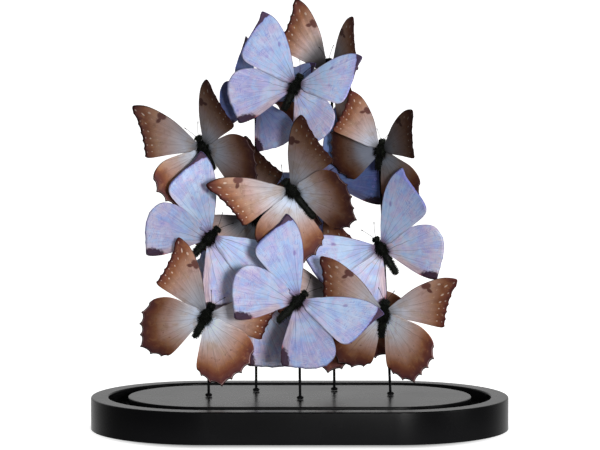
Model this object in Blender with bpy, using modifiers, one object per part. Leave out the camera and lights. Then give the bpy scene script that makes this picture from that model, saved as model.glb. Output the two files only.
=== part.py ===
"""Mounted butterflies: fifteen specimens on five thin rods above an oval display base.

Units are metres, +Z is up, and the origin is the centre of the base's underside.
The base is long along X and its front faces -Y. Every specimen is built in its own
frame (X to its right, Y towards its head, Z out of its back) and is then turned so
that its back faces the front of the display.
"""
import math
from collections import namedtuple

import bmesh
import bpy
from mathutils import Matrix, Vector

MM = 0.001
GAP = 0.3 * MM

# Base: a stadium outline, a turned rim, a groove and a raised panel
BASE_LENGTH = 280 * MM
BASE_WIDTH = 156 * MM
BASE_HEIGHT = 21.5 * MM
RIM_WIDTH = 11.8 * MM
GROOVE_WIDTH = 13.2 * MM
GROOVE_DEPTH = 8.0 * MM
RIM_BEVEL = 1.4 * MM
PANEL_BEVEL = 0.5 * MM
END_SEGMENTS = 12

# Rods and the small collars round their feet
ROD_RADIUS = 0.9 * MM
ROD_SIDES = 6
ARM_RADIUS = 0.6 * MM
SHORTEST_ARM = 0.5 * MM
ROD_ABOVE_THORAX = 2.0 * MM
COLLAR_RADIUS = 2.35 * MM
COLLAR_HEIGHT = 1.9 * MM
COLLAR_SIDES = 10

# Butterfly bodies and wings, for a specimen of size 1
WING_THICKNESS = 0.55 * MM
BLUE_WING = 55 * MM
BROWN_WING = 52 * MM
FORE_HINGE = Vector((2.6, 2.2, 1.4)) * MM
HIND_HINGE = Vector((2.4, -2.6, 0.5)) * MM
BODY_SIDES = 6
THORAX_RADIUS = 3.7 * MM
ABDOMEN_LENGTH = 14.0 * MM
WAIST = -4.5 * MM
FEELER_RADIUS = 0.3 * MM
LEG_RADIUS = 0.4 * MM
LIMB_SIDES = 3

# Wing outlines from base to front edge, tip, outer edge and back to the base: distance
# from the wing's root in wing lengths, and angle in degrees from the head's direction.
# The first and the last point lie inside the thorax.
BLUE_FOREWING = (
    (0.04, -60), (0.21, 30), (0.435, 36.5), (0.66, 41.5), (0.86, 47), (1.00, 53.5), (0.99, 56),
    (0.93, 59.5), (0.857, 69.5), (0.82, 80), (0.795, 87), (0.75, 91.5), (0.66, 94), (0.04, -120),
)
BLUE_HINDWING = (
    (0.04, -60), (0.26, 70), (0.51, 81), (0.71, 90.5), (0.79, 98), (0.82, 107), (0.80, 119),
    (0.765, 131), (0.76, 143), (0.73, 147), (0.59, 151), (0.43, 154), (0.24, 158), (0.04, -120),
)
BROWN_FOREWING = (
    (0.04, -60), (0.22, 32), (0.45, 37), (0.68, 42), (0.87, 46.5), (1.00, 52), (0.985, 55),
    (0.88, 60), (0.77, 70), (0.71, 82), (0.70, 92), (0.66, 97), (0.38, 100), (0.04, -120),
)
BROWN_HINDWING = (
    (0.04, -60), (0.25, 69), (0.50, 79), (0.66, 89), (0.73, 99), (0.765, 108), (0.775, 120.5),
    (0.79, 132), (0.84, 143.5), (0.79, 155), (0.72, 164.5), (0.62, 172), (0.25, 178), (0.04, -120),
)

Kind = namedtuple("Kind", "wing_length forewing hindwing colour")
KINDS = {
    "blue": Kind(BLUE_WING, BLUE_FOREWING, BLUE_HINDWING, (0.45, 0.58, 0.86)),
    "brown": Kind(BROWN_WING, BROWN_FOREWING, BROWN_HINDWING, (0.42, 0.26, 0.20)),
}

# Place of the thorax in millimetres, then angles in degrees. heading turns the head
# clockwise as seen from the front, pitch tips the head forwards, roll tips the left
# wings forwards. fore and hind are (left, right) angles: lift raises a wing off the
# flat towards the front, sweep turns it towards the head.
Pose = namedtuple("Pose", ("kind x y z heading pitch roll "
                           "fore_lift hind_lift fore_sweep hind_sweep size abdomen"))
SPECIMENS = {
    "centre_top": Pose("blue", -3, -22, 230.5, 26, 3, -5,
                       (31, 41), (30, 40), (3, 7), (-2, 3), 0.99, 1.00),
    "centre_middle": Pose("brown", -5, -28, 162, -38, 4, -6,
                          (9, 24), (9, 35), (5, 5), (-9, -1), 1.03, 1.35),
    "centre_low": Pose("blue", -1.5, -33, 89, 45, -13, -3,
                       (9, 19), (17, 13), (2, -3), (-5, -5), 0.99, 1.10),
    "left_top": Pose("brown", -64, -10, 189, -26, 5, -8,
                     (13, 40), (14, 34), (21, 15), (4, 1), 0.99, 0.90),
    "left_middle": Pose("blue", -60, -8, 129, 43, -8, 2,
                        (18, 8), (24, 5), (3, -12), (-1, 6), 1.01, 1.00),
    "left_low": Pose("brown", -62, -17, 78, 28, 16, -1,
                     (-2, 1), (24, 17), (7, 8), (3, 6), 1.03, 1.00),
    "right_top": Pose("brown", 54, -10, 187.5, 8, 29, -20,
                      (25, 30), (-8, 19), (24, 27), (17, -2), 0.92, 0.95),
    "right_middle": Pose("blue", 54.5, -8, 121.5, -31, -10, -6,
                         (13, 22), (9, 24), (-4, 4), (-5, -2), 0.99, 1.15),
    "right_low": Pose("brown", 56, -21.5, 80, 6, 23, -11,
                      (11, 2), (6, 25), (2, 2), (-6, -1), 1.08, 0.95),
    "back_right_top": Pose("brown", 20, 16, 238.5, -7, 4, -5,
                           (1, 57), (8, 66), (37, 7), (10, -16), 0.98, 0.90),
    "back_right_middle": Pose("blue", 16, 22, 166.5, -38, -2, -3,
                              (10, -5), (10, 12), (-6, 0), (0, -7), 0.96, 1.00),
    "back_right_low": Pose("brown", 27, 17, 86.5, -28, 3, -2,
                           (11, 32), (6, 10), (18, 31), (0, -26), 1.11, 0.90),
    "back_left_top": Pose("blue", -28.5, 8, 219.5, 13, -19, 0,
                          (62, 34), (50, 27), (8, 0), (8, -23), 0.80, 0.85),
    "back_left_middle": Pose("brown", -30, 8, 141, -48, -16, -6,
                             (16, 19), (-6, 4), (0, 6), (0, 0), 1.01, 1.00),
    "back_left_low": Pose("blue", -28, 18, 86, 42, 3, 2,
                          (-9, -26), (-8, 3), (-14, 0), (0, -2), 1.05, 0.90),
}

# Each rod: its foot in millimetres, how far its top leans to the right, and whom it
# carries, from the lowest specimen to the highest
Rod = namedtuple("Rod", "x y lean carries")
RODS = {
    "left": Rod(-61.0, -2.5, 0.0, ("left_low", "left_middle", "left_top")),
    "back_left": Rod(-29.5, 23.0, 0.0, ("back_left_low", "back_left_middle", "back_left_top")),
    "centre": Rod(0.3, -16.0, -3.0, ("centre_low", "centre_middle", "centre_top")),
    "back_right": Rod(23.5, 27.0, -2.0, ("back_right_low", "back_right_middle", "back_right_top")),
    "right": Rod(61.0, 4.0, -8.0, ("right_low", "right_middle", "right_top")),
}


def clear_scene():
    for old in list(bpy.data.objects):
        bpy.data.objects.remove(old)


def new_collection(name):
    collection = bpy.data.collections.new(name)
    bpy.context.scene.collection.children.link(collection)
    return collection


def make_material(name, colour, roughness, metallic=0.0):
    material = bpy.data.materials.new(name)
    material.use_nodes = True
    shader = material.node_tree.nodes["Principled BSDF"]
    shader.inputs["Base Color"].default_value = (*colour, 1.0)
    shader.inputs["Roughness"].default_value = roughness
    shader.inputs["Metallic"].default_value = metallic
    return material


def add_object(name, data, collection, material=None):
    """Link a mesh or a curve to a collection and give it its material."""
    obj = bpy.data.objects.new(name, data)
    collection.objects.link(obj)
    if material is not None:
        data.materials.clear()
        data.materials.append(material)
    return obj


def bake(obj, weld=0.01 * MM):
    """Return the object's evaluated mesh, in world space and welded, and remove the object."""
    bpy.context.view_layer.update()
    evaluated = obj.evaluated_get(bpy.context.evaluated_depsgraph_get())
    mesh = bpy.data.meshes.new_from_object(evaluated)
    mesh.transform(obj.matrix_world)
    mesh.name = obj.name
    bpy.data.objects.remove(obj)
    shape = bmesh.new()
    shape.from_mesh(mesh)
    bmesh.ops.remove_doubles(shape, verts=shape.verts, dist=weld)
    bmesh.ops.recalc_face_normals(shape, faces=shape.faces)
    shape.to_mesh(mesh)
    shape.free()
    return mesh


def flat_plate(name, points, thickness, collection, holes=()):
    """Bake a plate of the given outline, centred on its own mid-plane."""
    curve = bpy.data.curves.new(name, "CURVE")
    curve.dimensions = "2D"
    curve.fill_mode = "BOTH"
    curve.extrude = thickness / 2
    for outline in (points, *holes):
        spline = curve.splines.new("POLY")
        spline.points.add(len(outline) - 1)
        for point, (x, y) in zip(spline.points, outline):
            point.co = (x, y, 0.0, 1.0)
        spline.use_cyclic_u = True
    return bake(add_object(name, curve, collection))


def round_wire(name, points, radius, sides, collection):
    """Bake a wire through the points, with closed ends."""
    curve = bpy.data.curves.new(name, "CURVE")
    curve.dimensions = "3D"
    curve.bevel_depth = radius
    curve.bevel_resolution = sides // 2 - 2
    curve.use_fill_caps = True
    spline = curve.splines.new("POLY")
    spline.points.add(len(points) - 1)
    for point, place in zip(spline.points, points):
        point.co = (*place, 1.0)
    return bake(add_object(name, curve, collection))


def limb(start, end, root_radius, tip_radius):
    """A straight tapered feeler or leg between two points."""
    shape = bmesh.new()
    axis = end - start
    bmesh.ops.create_cone(shape, segments=LIMB_SIDES, cap_ends=True, radius1=root_radius,
                          radius2=tip_radius, depth=axis.length)
    mesh = bpy.data.meshes.new("limb")
    shape.to_mesh(mesh)
    shape.free()
    turn = axis.to_track_quat("Z", "Y").to_matrix().to_4x4()
    mesh.transform(Matrix.Translation((start + end) / 2) @ turn)
    return mesh


def turned_solid(name, profile, sides, collection):
    """Bake a profile of (radius, height) pairs turned once round the Z axis."""
    mesh = bpy.data.meshes.new(name)
    edges = [(i, i + 1) for i in range(len(profile) - 1)]
    mesh.from_pydata([(radius, 0.0, height) for radius, height in profile], edges, [])
    obj = add_object(name, mesh, collection)
    screw = obj.modifiers.new("turn", "SCREW")
    screw.steps = sides
    screw.render_steps = sides
    screw.use_merge_vertices = True
    screw.merge_threshold = 0.01 * MM
    return bake(obj)


def stadium(length, width):
    """Outline of two half circles joined by straight sides, counter-clockwise."""
    radius = width / 2
    half_straight = length / 2 - radius
    points = []
    for side, start in ((1, -90), (-1, 90)):
        for step in range(END_SEGMENTS + 1):
            angle = math.radians(start + 180 * step / END_SEGMENTS)
            points.append((side * half_straight + radius * math.cos(angle), radius * math.sin(angle)))
    return points


def add_bevel(obj, width, angle=40):
    bevel = obj.modifiers.new("soft_edges", "BEVEL")
    bevel.width = width
    bevel.segments = 2
    bevel.limit_method = "ANGLE"
    bevel.angle_limit = math.radians(angle)


def build_base(parts, material):
    """The rim with the board inside it, and the raised panel: the groove is left between."""
    inner_length = BASE_LENGTH - 2 * RIM_WIDTH
    inner_width = BASE_WIDTH - 2 * RIM_WIDTH
    groove_floor = BASE_HEIGHT - GROOVE_DEPTH

    hole = stadium(inner_length, inner_width)
    rim_mesh = flat_plate("base_rim", stadium(BASE_LENGTH, BASE_WIDTH), BASE_HEIGHT, parts, [hole])
    rim = add_object("base_rim", rim_mesh, parts, material)
    rim.location.z = BASE_HEIGHT / 2
    add_bevel(rim, RIM_BEVEL)

    board_outline = stadium(inner_length - 2 * GAP, inner_width - 2 * GAP)
    board_mesh = flat_plate("base_board", board_outline, groove_floor, parts)
    board = add_object("base_board", board_mesh, parts, material)
    board.location.z = groove_floor / 2

    panel_height = GROOVE_DEPTH - GAP
    panel_outline = stadium(inner_length - 2 * GROOVE_WIDTH, inner_width - 2 * GROOVE_WIDTH)
    panel_mesh = flat_plate("base_panel", panel_outline, panel_height, parts)
    panel = add_object("base_panel", panel_mesh, parts, material)
    panel.location.z = BASE_HEIGHT - panel_height / 2
    add_bevel(panel, PANEL_BEVEL)


def thorax_place(pose):
    return Vector((pose.x, pose.y, pose.z)) * MM


def rod_path(rod):
    """The rod's foot and top, 2 mm above the highest thorax that it carries."""
    highest = thorax_place(SPECIMENS[rod.carries[-1]]).z
    foot = Vector((rod.x * MM, rod.y * MM, BASE_HEIGHT + GAP))
    top = Vector(((rod.x + rod.lean) * MM, rod.y * MM, highest + ROD_ABOVE_THORAX))
    return foot, top


def build_rod(name, rod, parts, joins, rod_material, collar_material):
    """A rod with a short arm to each thorax that stands off it, and the collar at its foot."""
    foot, top = rod_path(rod)
    wire = round_wire("rod_" + name, [foot, top], ROD_RADIUS, ROD_SIDES, parts)
    body = add_object("rod_" + name, wire, parts, rod_material)
    for specimen in rod.carries:
        pose = SPECIMENS[specimen]
        thorax = thorax_place(pose)
        root = foot.lerp(top, (thorax.z - foot.z) / (top.z - foot.z))
        tip = thorax + (root - thorax).normalized() * (THORAX_RADIUS * pose.size + GAP)
        if (root - tip).length > ROD_RADIUS + SHORTEST_ARM:
            arm_mesh = round_wire("arm_" + specimen, [root, tip], ARM_RADIUS, ROD_SIDES, joins)
            join(body, add_object("arm_" + specimen, arm_mesh, joins, rod_material))

    bore = ROD_RADIUS + GAP
    profile = [
        (bore, COLLAR_HEIGHT), (0.6 * COLLAR_RADIUS, COLLAR_HEIGHT), (COLLAR_RADIUS, 0.45 * COLLAR_HEIGHT),
        (COLLAR_RADIUS, 0.0), (bore, 0.0), (bore, COLLAR_HEIGHT),
    ]
    collar_mesh = turned_solid("collar_" + name, profile, COLLAR_SIDES, parts)
    collar = add_object("collar_" + name, collar_mesh, parts, collar_material)
    collar.location = (rod.x * MM, rod.y * MM, BASE_HEIGHT + GAP)


def join(body, piece):
    """Fuse a helper piece to a body with a union, and hide the helper."""
    piece.hide_render = True
    piece.display_type = "WIRE"
    union = body.modifiers.new(piece.name, "BOOLEAN")
    union.operation = "UNION"
    union.solver = "EXACT"
    union.object = piece


def wing_outline(outline, length):
    """Turn (distance, angle) pairs into points of a right wing lying flat."""
    points = []
    for distance, angle in outline:
        turn = math.radians(angle)
        points.append((length * distance * math.sin(turn), length * distance * math.cos(turn)))
    return points


def wing_mesh(name, outline, length, hinge, lift, sweep, side, joins):
    """A wing plate swept and lifted about its root; side is -1 for the left wings."""
    mesh = flat_plate(name, wing_outline(outline, length), WING_THICKNESS, joins)
    sweeping = Matrix.Rotation(math.radians(sweep), 4, "Z")
    lifting = Matrix.Rotation(math.radians(-lift), 4, "Y")
    mesh.transform(Matrix.Translation(hinge) @ lifting @ sweeping)
    if side < 0:
        mesh.transform(Matrix.Scale(-1, 4, (1, 0, 0)))
        mesh.flip_normals()
    return mesh


def body_mesh(name, size, abdomen, joins):
    """Abdomen, waist, thorax and head as one turned solid along the body's length."""
    tail = WAIST - ABDOMEN_LENGTH * abdomen
    profile = [
        (0.0, 9.4 * MM), (2.0 * MM, 7.6 * MM), (1.8 * MM, 5.6 * MM), (3.4 * MM, 3.0 * MM),
        (THORAX_RADIUS, -1.0 * MM), (2.2 * MM, WAIST), (2.5 * MM, WAIST - 4.0 * MM),
        (1.8 * MM, tail + 2.0 * MM), (0.0, tail),
    ]
    mesh = turned_solid(name, profile, BODY_SIDES, joins)
    mesh.transform(Matrix.Scale(size, 4) @ Matrix.Rotation(math.radians(-90), 4, "X"))
    return mesh


def add_feelers(label, size, body, joins):
    """Two feelers from the head, spread in a V and thickened at the tip."""
    for side in (-1, 1):
        start = Vector((0.8 * side, 8.0, 0.6)) * MM * size
        end = Vector((5.2 * side, 18.0, 2.0)) * MM * size
        mesh = limb(start, end, 0.7 * FEELER_RADIUS, FEELER_RADIUS)
        join_local(body, mesh, f"feeler_{label}_{side}", joins)


def add_legs(label, size, body, joins):
    """Six legs folded back under the thorax."""
    for side in (-1, 1):
        for pair, reach in enumerate((3.2, 0.2, -2.8)):
            hip = Vector((1.2 * side, reach, -1.4)) * MM * size
            foot = Vector((4.6 * side, reach - 3.4, -2.8)) * MM * size
            mesh = limb(hip, foot, LEG_RADIUS, 0.5 * LEG_RADIUS)
            join_local(body, mesh, f"leg_{label}_{side}_{pair}", joins)


def join_local(body, mesh, name, joins):
    """Fuse a mesh that was built in the body's own frame."""
    piece = add_object(name, mesh, joins)
    piece.parent = body
    join(body, piece)


def specimen_frame(pose):
    """Place and turn of a specimen: back towards -Y, head up, then heading, pitch and roll."""
    heading = Matrix.Rotation(math.radians(pose.heading), 4, "Y")
    upright = Matrix.Rotation(math.radians(90), 4, "X")
    pitch = Matrix.Rotation(math.radians(pose.pitch), 4, "X")
    roll = Matrix.Rotation(math.radians(pose.roll), 4, "Y")
    return Matrix.Translation(thorax_place(pose)) @ heading @ upright @ pitch @ roll


def build_specimen(label, pose, parts, joins, material):
    """One butterfly: body, four wings, feelers and legs fused into one solid."""
    kind = KINDS[pose.kind]
    name = f"{pose.kind}_butterfly_{label}"
    body = add_object(name, body_mesh(name, pose.size, pose.abdomen, joins), parts, material)
    length = kind.wing_length * pose.size
    for index, side in enumerate((-1, 1)):
        fore = wing_mesh("forewing", kind.forewing, length, FORE_HINGE, pose.fore_lift[index],
                         pose.fore_sweep[index], side, joins)
        join_local(body, fore, f"forewing_{label}_{side}", joins)
        hind = wing_mesh("hindwing", kind.hindwing, length, HIND_HINGE, pose.hind_lift[index],
                         pose.hind_sweep[index], side, joins)
        join_local(body, hind, f"hindwing_{label}_{side}", joins)
    add_feelers(label, pose.size, body, joins)
    add_legs(label, pose.size, body, joins)
    body.matrix_world = specimen_frame(pose)


def main():
    clear_scene()
    parts = new_collection("mounted_butterflies")
    joins = new_collection("joined_shapes")
    black_lacquer = make_material("black_lacquer", (0.01, 0.01, 0.011), 0.25)
    black_rod = make_material("black_rod", (0.02, 0.02, 0.022), 0.4, 0.6)
    black_collar = make_material("black_collar", (0.015, 0.015, 0.016), 0.35)
    wings = {name: make_material(name + "_wing", kind.colour, 0.6) for name, kind in KINDS.items()}

    build_base(parts, black_lacquer)
    for name, rod in RODS.items():
        build_rod(name, rod, parts, joins, black_rod, black_collar)
    for label, pose in SPECIMENS.items():
        build_specimen(label, pose, parts, joins, wings[pose.kind])


if __name__ == "__main__":
    main()
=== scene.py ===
"""Look of the mounted butterflies: wings, furry bodies, rods, base and studio.

Lengths are metres and angles degrees unless a name says otherwise. The place, turn and
wing angles of each butterfly repeat those of the solids that it stands for.
"""

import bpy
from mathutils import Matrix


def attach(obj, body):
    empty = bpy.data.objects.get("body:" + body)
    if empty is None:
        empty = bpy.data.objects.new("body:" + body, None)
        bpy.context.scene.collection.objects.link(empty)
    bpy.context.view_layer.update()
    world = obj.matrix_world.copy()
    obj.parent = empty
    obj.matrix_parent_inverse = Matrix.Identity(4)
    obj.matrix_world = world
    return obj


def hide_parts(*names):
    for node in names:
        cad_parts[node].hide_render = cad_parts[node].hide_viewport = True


bl_info = {
    "name": "Mounted Butterflies",
    "version": (1, 0, 0),
    "blender": (4, 5, 0),
    "location": "View3D > Sidebar > Butterflies",
    "description": "Builds the butterflies, rods and oval base on the packed frame",
    "category": "Object",
}

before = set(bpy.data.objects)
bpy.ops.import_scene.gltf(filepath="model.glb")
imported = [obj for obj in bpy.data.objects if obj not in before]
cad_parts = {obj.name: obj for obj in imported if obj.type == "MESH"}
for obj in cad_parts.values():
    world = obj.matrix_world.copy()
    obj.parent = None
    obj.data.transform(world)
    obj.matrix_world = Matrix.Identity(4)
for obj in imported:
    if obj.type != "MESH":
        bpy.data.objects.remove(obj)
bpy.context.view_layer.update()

import math
from collections import namedtuple

import bpy
import numpy as np
from bpy.props import FloatProperty, FloatVectorProperty, IntProperty, PointerProperty
from mathutils import Vector

MM = 0.001
BODY = "root"

# Base outline, as in the solids
BASE_LENGTH = 280 * MM
BASE_WIDTH = 156 * MM
BASE_HEIGHT = 21.5 * MM
RIM_WIDTH = 11.8 * MM
GROOVE_WIDTH = 13.2 * MM
GROOVE_DEPTH = 8.0 * MM
GAP = 0.3 * MM
END_RADIUS = BASE_WIDTH / 2
HALF_STRAIGHT = BASE_LENGTH / 2 - END_RADIUS
SHARP_ANGLE = 40
# Height below which the lacquer gets painted light, as if bounced up from the floor
PAINTED_BOUNCE_BELOW = 0.9 * BASE_HEIGHT

# Rods and collars
ROD_RADIUS = 0.9 * MM
ARM_RADIUS = 0.6 * MM
SHORTEST_ARM = 0.5 * MM
ROD_ABOVE_THORAX = 2.0 * MM
COLLAR_RADIUS = 2.35 * MM
COLLAR_HEIGHT = 1.9 * MM
COLLAR_CLEARANCE = 0.12 * MM

# Wings and bodies, in millimetres for a butterfly of size 1
WING_LENGTH = {"blue": 55.0, "brown": 52.0}
HINGE = {"fore": (2.6, 2.2, 1.4), "hind": (2.4, -2.6, 0.5)}
WING_ROOT = (-2.0, 0.0)
OUTLINE_POINTS = 1500
EDGE_SPACING = 0.62
SIDE_SPACING = 2.2
TOOTH_WIDTH = 0.09
BAND_LENGTH = 52.0
SEED_STEP = 3.7
THORAX_RADIUS = 3.7
ABDOMEN_LENGTH = 14.0
ABDOMEN_RING = 1.6
WAIST = -4.5
WAVE_LENGTHS = (13, 17)
HAIR_WIDTH = 0.13
HAIR_ACROSS = (0.31, 0.22, 0.93)
HAIR_DROOP = (0.0, -0.35, 0.0)

# Profiles of the body's parts: places along it and radii
THORAX = (-5.2, -4.4, -2.2, 0.6, 3.2, 5.0, 5.8), (0, 2.1, 3.3, 3.5, 2.9, 1.6, 0)
HEAD = (4.8, 5.6, 7.2, 8.7, 9.3), (0, 1.7, 2.2, 1.4, 0)
EYE = (-1.1, -0.7, 0, 0.7, 1.1), (0, 0.85, 1.1, 0.85, 0)

# A wing: its outline from front edge to tip, outer edge and rear edge, as distances from the
# hinge in wing lengths and angles from the head's direction; the angles where its veins meet
# the edge; the first and last of them on the outer edge; how deep the edge is scalloped
# between them, and how far it is toothed
Wing = namedtuple("Wing", "outline veins first_outer last_outer scallop tooth")
WINGS = {
    ("blue", "fore"): Wing(
        ((0.21, 30), (0.435, 36.5), (0.66, 41.5), (0.86, 47), (1.00, 53.5), (0.99, 56),
         (0.93, 59.5), (0.857, 69.5), (0.82, 80), (0.795, 87), (0.75, 91.5), (0.66, 94),
         (0.42, 97), (0.12, 118)),
        (33, 41, 52.5, 58, 63.5, 69.5, 75.5, 81.5, 88, 96), 2, 8, 0.15, 0.0),
    ("blue", "hind"): Wing(
        ((0.12, 40), (0.26, 70), (0.51, 81), (0.71, 90.5), (0.79, 98), (0.82, 107),
         (0.80, 119), (0.765, 131), (0.76, 143), (0.73, 147), (0.59, 151), (0.43, 154),
         (0.24, 158)),
        (60, 84, 97, 106, 115, 124, 133, 144, 152), 2, 7, 0.3, 0.1),
    ("brown", "fore"): Wing(
        ((0.22, 32), (0.45, 37), (0.68, 42), (0.87, 46.5), (1.00, 52), (0.985, 55), (0.88, 60),
         (0.77, 70), (0.71, 82), (0.70, 92), (0.66, 97), (0.38, 100), (0.12, 118)),
        (34, 42, 51, 57, 63.5, 70.5, 78, 86, 94, 101), 2, 8, 0.7, 0.2),
    ("brown", "hind"): Wing(
        ((0.12, 40), (0.25, 69), (0.50, 79), (0.66, 89), (0.73, 99), (0.765, 108),
         (0.775, 120.5), (0.79, 132), (0.84, 143.5), (0.79, 155), (0.72, 164.5), (0.62, 172),
         (0.25, 178)),
        (58, 80, 95, 108, 120.5, 132, 143.5, 155, 164.5, 175), 2, 8, 1.5, 0.7),
}

# A butterfly: its place in millimetres and its turn, then lift and sweep of the left and
# right forewing and the left and right hindwing, its size and its abdomen's length
Pose = namedtuple("Pose", "kind x y z heading pitch roll lift sweep size abdomen")
SPECIMENS = {
    "centre_top": Pose("blue", -3, -22, 230.5, 26, 3, -5,
                       (31, 41, 30, 40), (3, 7, -2, 3), 0.99, 1.00),
    "centre_middle": Pose("brown", -5, -28, 162, -38, 4, -6,
                          (9, 24, 9, 35), (5, 5, -9, -1), 1.03, 1.35),
    "centre_low": Pose("blue", -1.5, -33, 89, 45, -13, -3,
                       (9, 19, 17, 13), (2, -3, -5, -5), 0.99, 1.10),
    "left_top": Pose("brown", -64, -10, 189, -26, 5, -8,
                     (13, 40, 14, 34), (21, 15, 4, 1), 0.99, 0.90),
    "left_middle": Pose("blue", -60, -8, 129, 43, -8, 2,
                        (18, 8, 24, 5), (3, -12, -1, 6), 1.01, 1.00),
    "left_low": Pose("brown", -62, -17, 78, 28, 16, -1,
                     (-2, 1, 24, 17), (7, 8, 3, 6), 1.03, 1.00),
    "right_top": Pose("brown", 54, -10, 187.5, 8, 29, -20,
                      (25, 30, -8, 19), (24, 27, 17, -2), 0.92, 0.95),
    "right_middle": Pose("blue", 54.5, -8, 121.5, -31, -10, -6,
                         (13, 22, 9, 24), (-4, 4, -5, -2), 0.99, 1.15),
    "right_low": Pose("brown", 56, -21.5, 80, 6, 23, -11,
                      (11, 2, 6, 25), (2, 2, -6, -1), 1.08, 0.95),
    "back_right_top": Pose("brown", 20, 16, 238.5, -7, 4, -5,
                           (1, 57, 8, 66), (37, 7, 10, -16), 0.98, 0.90),
    "back_right_middle": Pose("blue", 16, 22, 166.5, -38, -2, -3,
                              (10, -5, 10, 12), (-6, 0, 0, -7), 0.96, 1.00),
    "back_right_low": Pose("brown", 27, 17, 86.5, -28, 3, -2,
                           (11, 32, 6, 10), (18, 31, 0, -26), 1.11, 0.90),
    "back_left_top": Pose("blue", -28.5, 8, 219.5, 13, -19, 0,
                          (62, 34, 50, 27), (8, 0, 8, -23), 0.80, 0.85),
    "back_left_middle": Pose("brown", -30, 8, 141, -48, -16, -6,
                             (16, 19, -6, 4), (0, 6, 0, 0), 1.01, 1.00),
    "back_left_low": Pose("blue", -28, 18, 86, 42, 3, 2,
                          (-9, -26, -8, 3), (-14, 0, 0, -2), 1.05, 0.90),
}

# Painted light and shade on each wing, near the root and near the edge, in the same order: its
# colour is multiplied by it, darker below 1 and lighter above, for how each wing is turned to the
# light
PAINTED_LIGHT_AND_SHADE = {
    "centre_top": ((0.89, 0.86), (1.02, 1.39), (0.89, 0.85), (1.28, 1.14)),
    "centre_middle": ((0.86, 0.83), (0.53, 0.33), (0.84, 0.68), (0.86, 0.41)),
    "centre_low": ((0.79, 0.9), (0.93, 0.95), (0.83, 0.92), (0.77, 0.72)),
    "left_top": ((0.45, 0.39), (0.49, 0.25), (0.69, 0.89), (0.52, 0.31)),
    "left_middle": ((0.96, 1.16), (1.27, 0.79), (0.81, 0.85), (1.19, 1.17)),
    "left_low": ((0.83, 1.19), (1.24, 1.13), (1.18, 0.66), (1.43, 1.43)),
    "right_top": ((1.39, 1.2), (0.23, 0.19), (0.43, 0.44), (0.38, 0.57)),
    "right_middle": ((1.01, 1.1), (0.92, 0.74), (1.19, 1.17), (1.01, 1.11)),
    "right_low": ((1.22, 0.76), (1.12, 0.96), (1.24, 0.78), (1.54, 1.43)),
    "back_right_top": ((1.04, 0.7), (0.35, 0.41), (0.66, 0.52), (0.53, 0.36)),
    "back_right_middle": ((0.6, 0.6), (0.3, 0.3), (0.3, 0.3), (0.21, 0.15)),
    "back_right_low": ((0.33, 1.6), (0.84, 0.75), (0.75, 0.63), (0.75, 0.63)),
    "back_left_top": ((0.3, 0.3), (0.45, 0.45), (0.22, 0.22), (0.29, 0.67)),
    "back_left_middle": ((0.17, 1.6), (0.66, 0.18), (0.57, 0.41), (0.43, 0.26)),
    "back_left_low": ((0.8, 0.8), (0.8, 0.8), (0.8, 0.8), (1.2, 1.15)),
}

# Wings that differ from their kind, by side (-1 is left): a brown wing's root gets a painted grey
# shadow (1) or a painted bluish silvery sheen (-1), and a blue wing lacks its dark tip or corner
# (1)
ROOT_SHADE_SHEEN_AND_MARKS = {
    ("back_right_top", "fore", -1): 1.0, ("right_top", "hind", -1): -1.0,
    ("left_middle", "hind", 1): 1.0, ("right_middle", "fore", 1): 1.0,
}

# A rod's foot in millimetres, and how far its top leans to the right
Rod = namedtuple("Rod", "x y lean")
RODS = {
    "left": Rod(-61.0, -2.5, 0.0), "back_left": Rod(-29.5, 23.0, 0.0),
    "centre": Rod(0.3, -16.0, -3.0), "back_right": Rod(23.5, 27.0, -2.0),
    "right": Rod(61.0, 4.0, -8.0),
}

# Camera, lights (the setting for the power, the place and the width), floor and wall; the
# shadow round the base is that share of the floor's brightness, and narrower at its ends
CAMERA_PLACE = (0.0002, -2.3333, 0.3465)
CAMERA_TILT = 84.86
LENS, SENSOR = 210.4, 36.0
LIGHT_AIM = (0, 0, 0.14)
LIGHTS = {
    "key_light": ("key", (0.45, -2.1, 0.34), 0.28),
    "side_light": ("fill", (2.0, -0.95, 0.55), 0.9),
}
FLOOR_REACH = 14
WALL_RADIUS = 13.5
SHADOW_TONE = 0.32
SHADOW_NARROWING = 1.2


def linear(red, green, blue):
    """Turn display values from 0 to 255 into a linear colour."""
    values = np.array([red, green, blue]) / 255
    low = values / 12.92
    high = ((values + 0.055) / 1.055) ** 2.4
    return tuple(float(v) for v in np.where(values <= 0.04045, low, high))


# ---------------------------------------------------------------- settings

def number_setting(name, description, default, **limits):
    return FloatProperty(name=name, description=description, default=default, min=0.0, **limits)


def length_setting(name, description, default):
    return number_setting(name, description, default, unit="LENGTH")


def count_setting(name, description, default, least=0):
    return IntProperty(name=name, description=description, default=default, min=least)


def colour_setting(name, description, default):
    return FloatVectorProperty(name=name, description=description, default=default, size=3,
                               min=0.0, max=1.0, subtype="COLOR")


class BaseSettings(bpy.types.PropertyGroup):
    rim_round: length_setting("Rim rounding", "Radius of the rim's rounded edges", 1.0 * MM)
    panel_round: length_setting("Panel rounding", "Radius of the panel's upper edge", 0.6 * MM)
    lacquer: colour_setting("Lacquer", "Colour of the base", linear(11, 11, 12))
    gloss: number_setting("Lacquer roughness", "Roughness of the base's finish", 0.27,
                          max=1.0, subtype="FACTOR")


class RodSettings(bpy.types.PropertyGroup):
    sides: count_setting("Sides", "Sides of a rod's round section", 20, 8)
    paint: colour_setting("Paint", "Colour of rods and collars", linear(9, 9, 10))


class WingSettings(bpy.types.PropertyGroup):
    thickness: length_setting("Thickness", "Thickness of a wing between its edges", 0.22 * MM)
    wave: length_setting("Wave", "Height of the slow waves across a wing", 0.7 * MM)
    pleat: length_setting("Pleat", "Height of the folds along the veins", 0.06 * MM)
    rows: count_setting("Rows", "Steps from the root to the edge", 24, 6)


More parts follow.
